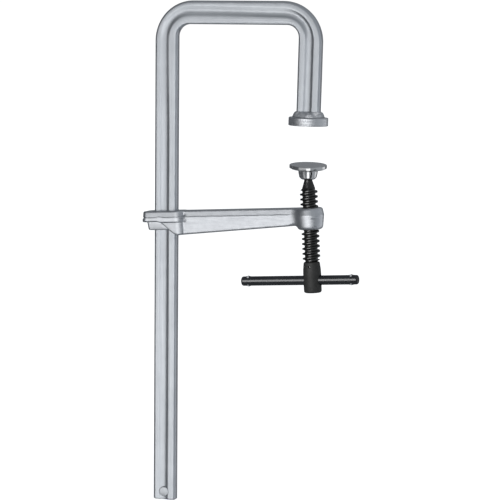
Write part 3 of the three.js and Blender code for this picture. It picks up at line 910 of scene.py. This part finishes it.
def threaded(above, below, top, bottom, clearance=0.0, limit=None):
    """A right-hand thread between turned ends, in rows that follow the helix.

    limit is (heights, radii) that the thread stays inside.
    """
    columns = 72
    last = len(THREAD_HALF) - 1
    half = [(min(h + clearance * (0 < i < last), PITCH / 2), r + clearance)
            for i, (h, r) in enumerate(THREAD_HALF)]
    turn = [(-h, r) for h, r in half[:-1]] + [(h - PITCH, r) for h, r in reversed(half[1:])]
    turns = int((top - bottom) / PITCH) + 3
    start = THREAD_PHASE + PITCH * math.ceil((top - THREAD_PHASE) / PITCH)
    heights = np.array([start - PITCH * t + h for t in range(turns) for h, r in turn])
    radii = [r for t in range(turns) for h, r in turn]
    lines = []
    for j in range(columns + 1):
        angle = 2 * math.pi * j / columns
        place = heights + PITCH * j / columns
        column = list(above)
        for height in np.clip(place, bottom, top):
            radius = float(np.interp(-height, -place, radii))
            if limit:
                radius = min(radius, float(np.interp(height, *limit)))
            column.append((radius, float(height)))
        column += below
        lines.append([(r * math.cos(angle), r * math.sin(angle), w) for r, w in column])
    return grid(lines)


def spindle_rod():
    """From the top: ball, neck, cone, thread and the shank inside the head."""
    neck, ball, cone, shank = 3.9, 5.6, ROOT + 0.2, ROOT - 0.25
    top, bottom = along(CONE_END), along(THREAD_END)
    neck_end, shank_end = along(NECK_END), along(SHANK_END)
    meet = math.degrees(math.asin(neck / ball))
    above = [(x, along(BALL_AT) + z) for z, x in arc(0, 0, ball, 0, 180 - meet, 21)]
    above += [(neck, neck_end + 0.5), (neck + 0.06, neck_end), (neck + 0.3, neck_end - 0.7)]
    above += [(neck + (cone - neck) * share, neck_end + (top - neck_end) * share)
              for share in np.linspace(0.12, 1, 6)]
    below = [(ROOT, bottom), (shank, bottom - 0.4), (shank, shank_end + 0.5),
             (shank - 0.5, shank_end), (0, shank_end)]
    limit = ([bottom, bottom + 1.2, top - 2.2, top], [ROOT, CREST, CREST, cone])
    shape = threaded(above, below, top, bottom, limit=limit)
    obj = make_piece("threaded_spindle", shape, ARM, 38)
    carve(obj, "DIFFERENCE", pin_hole(), sharp=38)
    finish_piece(obj, "spindle", "black_spindle", "spindle_rod", black_thread_material())


# The pin's frame and the cross hole's frame, both across the spindle. The bar has a little slack
# in the hole, so it lies slightly askew.
PIN = ARM @ Matrix.Translation((0, 0, along(PIN_AT))) @ Matrix.Rotation(math.radians(90), 4, "X")
CROSS = ARM @ Matrix.Translation((0, 0, along(BAR_AT))) @ Matrix.Rotation(math.radians(90), 4, "Y")
BAR = CROSS @ Matrix.Rotation(math.radians(-0.2), 4, "Y")


def pin_hole():
    return drill(PIN_RADIUS + 0.3, 20, 32, PIN)


def handle_head():
    """A barrel-shaped sleeve, with a bore from above for the shank and a cross hole for the bar."""
    top, bottom, seat = along(HEAD_TOP), along(HEAD_END), along(SEAT_AT)
    bore = 6.6
    outside = rounded([
        (bore, top, 0.3), (7.7, top, 0.5), (8.25, top - 0.9, 1.2), (9.0, top - 7.5, 14),
        (9.15, top - 14, 20), (9.0, bottom, 2.1), (0, bottom, 0)], 6)
    outside = [p for p in outside if p[0] > 0]
    profile = [(0, seat), (bore - 0.5, seat), (bore, seat + 0.5), *outside, (0, bottom)]
    obj = make_piece("handle_head", turned(profile), ARM, 35)
    carve(obj, "DIFFERENCE", drill(5.3, 30, 64, CROSS), pin_hole(), sharp=35)
    finish_piece(obj, "spindle", "black_head", "spindle_head", black_head_material())


def cross_pin():
    half = 7.3
    upper = [(PIN_RADIUS, half - 0.35), (PIN_RADIUS - 0.3, half), (0, half)]
    profile = [(r, -z) for r, z in reversed(upper)] + upper
    obj = make_piece("cross_pin", turned(profile, 32), PIN)
    finish_piece(obj, "spindle", "black_spindle", "head_pin", black_thread_material())


def tommy_bar():
    """A drawn bar with rounded ends, each staked so that two ears stop it in the head."""
    left, right, radius, corner, inset = -75.5, 48.5, 4.85, 2.0, 7.2
    ears = (left + inset, right - inset)

    def reach(place, angle):
        side = abs((angle + 1.5 * math.pi) % (2 * math.pi) - math.pi)
        ear = min(ears, key=lambda e: abs(e - place))
        off_ear = min(abs(side - math.radians(a)) for a in (84, 96))
        off_dent = min(abs(side - math.radians(a)) for a in (44, 136))
        swell = 0.72 * bell(place - ear, 1.6) * bell(off_ear, 0.33)
        dent = 0.42 * bell(place - ear, 0.95) * bell(off_dent, 0.2)
        return radius - float(round_off(min(place - left, right - place), corner)) + swell - dent

    def ear_wear_and_highlight(place):
        """1 where the black has rubbed off the ears, which are drawn pale grey as a painted
        highlight too.
        """
        away = min(abs(ear - place.z) for ear in ears)
        return (bell(away, 1.1) * bell(abs(place.x) - 4.4, 0.9),) * 3

    rounding = [corner * (1 - math.cos(a)) for a in np.radians((0, 12, 28, 45, 65, 90))]
    places = [left + step for step in rounding]
    places += [*np.arange(left + 2.4, left + 13, 0.4), *np.linspace(left + 14, right - 14, 12)]
    places += [*np.arange(right - 13, right - 2.2, 0.4), *[right - step for step in rounding[::-1]]]
    recess = ((0, 0.7), (1.8, 0.7), (2.4, 0))  # (radius, depth) of the hollow in each end
    rings = [circle(r, left + depth) for r, depth in recess]
    rings += [circle(lambda angle: reach(place, angle), place) for place in places]
    rings += [circle(r, right - depth) for r, depth in recess[::-1]]
    obj = make_piece("turning_bar", skin(rings, caps=False), BAR, 40)
    store(obj, "turning", BAR, turning)
    store(obj, "ear_wear_and_highlight", BAR, ear_wear_and_highlight)
    finish_piece(obj, "handle", "black_bar", "tommy_bar", black_bar_material())


# ---- pressure plate and its swivel ----

def ball_arc(radius, end, steps):
    """(radius, height) points round the ball's centre, from the top down to an angle."""
    points = [(x, z) for z, x in arc(0, 0, radius, 0, end, steps)]
    return [(0, radius), *points[1:]]


def grinding(place):
    """The place along and across the lines that were ground into the pad's face."""
    slant = math.radians(24)
    return (place.x * math.cos(slant) + place.y * math.sin(slant),
            place.y * math.cos(slant) - place.x * math.sin(slant), place.z)


def swivel_pad():
    """The pad's disc and cup in one, with a spherical socket, and a ground face on top."""
    socket = [(x, z - BALL_AT) for x, z in ball_arc(7.2, 132, 25)]
    outside = rounded([
        (5.4, -14.7, 0.35), (6.7, -14.8, 1.3), (8.7, -12.9, 2.6), (9.55, -9.2, 5),
        (9.9, -5.9, 0.7), (16.8, -4.35, 3), (18.9, -3.2, 0.5), (18.9, -0.1, 0.55), (17.5, 0, 0)], 6)
    profile = [*socket, *outside, (12, 0), (6, 0), (0, 0)]
    obj = make_piece("swivel_pad", turned(profile, 144), PAD, 40)
    store(obj, "grinding", PAD, grinding)
    finish_piece(obj, "pad", "bright_pad", "pressure_plate",
                 bright_cup_material(), ground_face_material())
    inverse = PAD.inverted()
    for face in obj.data.polygons:
        if (inverse @ face.center).z > -0.03:
            face.material_index = 1


def ball_seat():
    """The hardened cap that the spindle's ball pushes against."""
    inner, outer = ball_arc(5.9, 40, 11), ball_arc(6.9, 40, 11)
    profile = [(x, along(BALL_AT) + z) for x, z in inner + outer[::-1]]
    obj = make_piece("ball_seat", turned(profile, 64), ARM)
    finish_piece(obj, "swivel_seat", "inner_steel", "thrust_seat", inner_steel_material())


def snap_ring():
    """An open ring that holds the ball in the cup. It leans sideways with the pad, not forward."""
    side = Vector(joint("pad_tilt_front")["axis"])
    up = side.cross(Vector(joint("pad_tilt_side")["axis"]))
    matrix = local_frame(joint("pad_tilt_side")["pos_m"], PAD.col[0].to_3d(), up)
    opening = math.radians(25)
    wall = [(5.95, 62), (6.85, 62), (6.88, 70.5), (6.85, 79), (5.95, 79), (5.92, 70.5)]
    section = []
    for radius, from_top in wall:
        angle = math.radians(from_top)
        section.append((radius * math.sin(angle), radius * math.cos(angle)))
    rings = [[(out * math.cos(turn), out * math.sin(turn), height) for out, height in section]
             for turn in np.linspace(opening, 2 * math.pi - opening, 64)]
    obj = make_piece("snap_ring", skin(rings), matrix)
    finish_piece(obj, "pad_ring", "inner_steel", "pad_retaining_ring", inner_steel_material())


# ---- studio ----

def flat_mesh(name, half_width, half_height, level=0.0):
    mesh = bpy.data.meshes.new(name)
    corners = [(-half_width, -half_height), (half_width, -half_height),
               (half_width, half_height), (-half_width, half_height)]
    mesh.from_pydata([(x, y, level) for x, y in corners], [], [(0, 1, 2, 3)])
    return mesh


def studio_floor():
    """A plain pale floor, just under the rail's end."""
    mesh = flat_mesh("studio_floor", 12.0, 12.0, CAD_BOX[0].z - 0.0005)
    floor = make_object("studio_floor", mesh)
    s = Surface("studio_floor", Base_Color=(0.8, 0.8, 0.8, 1), Roughness=0.9,
                Emission_Color=(1, 1, 1, 1), Emission_Strength=0.9)
    mesh.materials.append(s.material)
    floor.visible_glossy = floor.visible_diffuse = False


def studio_world():
    """White behind the clamp, and a grey surround that its metal mirrors: darker to the left."""
    left_strength, right_strength, white_strength = 0.10, 0.46, 1.05
    world = bpy.data.worlds.new("studio")
    bpy.context.scene.world = world
    world.use_nodes = True
    tree = world.node_tree
    link = tree.links.new
    direction = tree.nodes.new("ShaderNodeSeparateXYZ")
    link(tree.nodes.new("ShaderNodeTexCoord").outputs["Generated"], direction.inputs[0])
    sideways = tree.nodes.new("ShaderNodeMapRange")
    for socket, value in zip(sideways.inputs[1:5], (-1, 1, left_strength, right_strength)):
        socket.default_value = value
    link(direction.outputs["X"], sideways.inputs["Value"])
    surround = tree.nodes["Background"]
    surround.inputs["Color"].default_value = (0.93, 0.985, 1.05, 1)
    link(sideways.outputs["Result"], surround.inputs["Strength"])
    white = tree.nodes.new("ShaderNodeBackground")
    white.inputs["Color"].default_value = (1, 1, 1, 1)
    white.inputs["Strength"].default_value = white_strength
    mix = tree.nodes.new("ShaderNodeMixShader")
    ray = tree.nodes.new("ShaderNodeLightPath")
    link(ray.outputs["Is Camera Ray"], mix.inputs["Fac"])
    link(surround.outputs["Background"], mix.inputs[1])
    link(white.outputs["Background"], mix.inputs[2])
    link(mix.outputs["Shader"], tree.nodes["World Output"].inputs["Surface"])


def backwards(azimuth, elevation):
    """From the clamp towards a camera or lamp. Azimuth 0 is in front, along -Y, in degrees."""
    a, e = math.radians(azimuth), math.radians(elevation)
    return Vector((math.sin(a) * math.cos(e), -math.cos(a) * math.cos(e), math.sin(e)))


def facing(name, data, azimuth, elevation, distance):
    """Places a lamp or a card so that it faces the middle of the clamp."""
    obj = make_object(name, data)
    back = backwards(azimuth, elevation)
    obj.location = (CAD_BOX[0] + CAD_BOX[1]) / 2 + back * distance
    obj.rotation_euler = (-back).to_track_quat("-Z", "Y").to_euler()
    return obj


def panel(name, azimuth, elevation, distance, width, height, radiance, group=None):
    """A soft box. Where a group is given, it lights only that group of pieces."""
    data = bpy.data.lights.new(name, "AREA")
    data.shape = "RECTANGLE"
    data.size, data.size_y = width, height
    data.energy = radiance * math.pi * width * height
    light = facing(name, data, azimuth, elevation, distance)
    if group:
        light.light_linking.receiver_collection = group


def dark_card(name, azimuth, elevation, distance, width, height):
    """A black card that only shows in reflections."""
    mesh = flat_mesh(name, width / 2, height / 2)
    mesh.materials.append(Surface(name, Base_Color=(0.01, 0.01, 0.01, 1), Roughness=1.0).material)
    card = facing(name, mesh, azimuth, elevation, distance)
    card.visible_camera = card.visible_diffuse = card.visible_shadow = False


def light_group(name, *pieces):
    """A collection that a soft box can be kept to."""
    group = bpy.data.collections.new(name)
    for piece in pieces:
        group.objects.link(bpy.data.objects[piece])
    return group


def studio_lights():
    """Soft boxes in front, most of them for one group of pieces, and a weak one behind."""
    steel = light_group("steel", "bow_rail", "stop_pin", "anvil_foot", "weld_bead", "ball_seat",
                        "snap_ring")
    bar = light_group("bar", "bow_rail")
    foot = light_group("foot", "anvil_foot", "weld_bead")
    weld = light_group("weld", "weld_bead")
    arm = light_group("arm", "forged_arm")
    pad = light_group("pad", "swivel_pad")
    black = light_group("black", "threaded_spindle", "handle_head", "cross_pin", "turning_bar")
    # azimuth, elevation, distance, width, height, radiance
    panel("front_box", -4, -8, 8.0, 13.6, 2.8, 1.55, steel)
    panel("arm_box", -8, -14, 8.0, 13.2, 5.8, 0.85, arm)
    panel("arm_middle", -5, -8, 7.5, 5.6, 6.4, 0.75, arm)
    panel("foot_middle", 1, -8, 7.5, 6.0, 4.0, 2.0, foot)
    panel("low_fill", -5, -42, 5.0, 5.0, 2.6, 1.2, bar)
    panel("weld_light", -20, 75, 3.0, 2.5, 2.5, 1.0, weld)
    panel("cup_strip", 20, -36, 2.0, 0.85, 2.0, 1.4, pad)
    panel("cup_side", -36, -36, 2.0, 0.7, 1.6, 0.35, pad)
    panel("pad_front", -5, -8, 8.0, 12.0, 2.8, 0.35, pad)
    panel("black_key", -12, 5, 6.0, 5.0, 4.0, 6.5, black)
    panel("back_box", 132, -10, 8.0, 4.0, 4.5, 0.45)
    panel("upper_fill", -15, 26, 5.0, 4.0, 2.4, 0.35, bar)
    # azimuth, elevation, distance, width, height
    dark_card("right_flag", 64, -34, 1.5, 0.45, 1.3)
    dark_card("back_flag", 160, -8, 3.0, 1.0, 3.0)


def studio_camera():
    """The photo's long lens, to one side and a little above. Its numbers were fitted to edges."""
    back = backwards(19.456, 6.047)
    data = bpy.data.cameras.new("camera")
    data.lens = 158.9
    data.shift_x, data.shift_y = 0.02637, 0.00244
    data.clip_start, data.clip_end = 0.05, 60
    camera = make_object("camera", data)
    camera.location = Vector((-0.075, 0, -0.130)) + back * 2.256
    level = (-back).to_track_quat("-Z", "Y").to_matrix().to_4x4()
    camera.rotation_euler = (level @ Matrix.Rotation(math.radians(0.455), 4, "Z")).to_euler()
    bpy.context.scene.camera = camera


for piece in (rail, stop_pin, anvil_foot, weld_bead, sliding_arm, ball_seat, snap_ring, swivel_pad,
              spindle_rod, handle_head, cross_pin, tommy_bar):
    piece()

studio_floor()
studio_world()
studio_lights()
studio_camera()
bpy.context.scene.view_settings.view_transform = "Standard"
